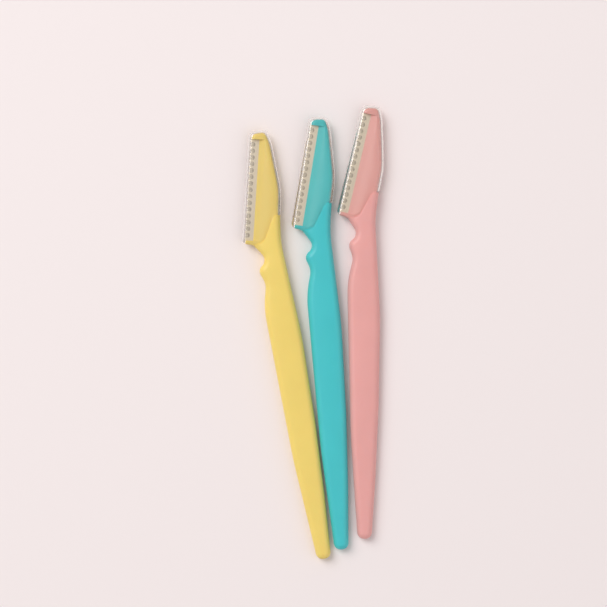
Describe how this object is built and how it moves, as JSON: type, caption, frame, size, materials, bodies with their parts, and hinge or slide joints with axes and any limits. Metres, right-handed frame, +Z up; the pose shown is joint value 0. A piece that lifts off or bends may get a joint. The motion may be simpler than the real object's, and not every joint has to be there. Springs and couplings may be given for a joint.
{
  "type": "eyebrow razor",
  "caption": "Slim eyebrow razors lying in a fan, each a waisted plastic handle with a steel blade under a perforated safety cover and a clear slip-off cap.",
  "frame": {"origin": "middle of the set's outline, on the plane that the razors lie on", "axes": "+Z up from that plane, +Y from the tails towards the capped blades, +X to the right, away from the cutting edges"},
  "size_m": [0.0428, 0.136, 0.0046],
  "materials": {
    "yellow_plastic": "satin moulded plastic",
    "turquoise_plastic": "satin moulded plastic",
    "pink_plastic": "satin moulded plastic",
    "blade_steel": "ground stainless strip",
    "cover_steel": "bright stamped sheet",
    "clear_cap": "clear, polished, thin-walled"
  },
  "bodies": {
    "yellow_razor": {"yellow_handle": "yellow_plastic", "yellow_blade": "blade_steel", "yellow_safety_cover": "cover_steel"},
    "yellow_cap": {"yellow_cap": "clear_cap"},
    "turquoise_razor": {"turquoise_handle": "turquoise_plastic", "turquoise_blade": "blade_steel", "turquoise_safety_cover": "cover_steel"},
    "turquoise_cap": {"turquoise_cap": "clear_cap"},
    "pink_razor": {"pink_handle": "pink_plastic", "pink_blade": "blade_steel", "pink_safety_cover": "cover_steel"},
    "pink_cap": {"pink_cap": "clear_cap"}
  },
  "joints": [
    {"name": "yellow_cap_slide", "type": "slide", "parent": "yellow_razor", "child": "yellow_cap", "axis": [0.0619, 0.9981, 0], "range_m": [0, 0.04]},
    {"name": "turquoise_lift", "type": "slide", "parent": "yellow_razor", "child": "turquoise_razor", "axis": [0, 0, 1], "range_m": [0, 0.03]},
    {"name": "turquoise_cap_slide", "type": "slide", "parent": "turquoise_razor", "child": "turquoise_cap", "axis": [0.1607, 0.987, 0], "range_m": [0, 0.04]},
    {"name": "pink_lift", "type": "slide", "parent": "yellow_razor", "child": "pink_razor", "axis": [0, 0, 1], "range_m": [0, 0.03]},
    {"name": "pink_cap_slide", "type": "slide", "parent": "pink_razor", "child": "pink_cap", "axis": [0.2287, 0.9735, 0], "range_m": [0, 0.04]}
  ]
}
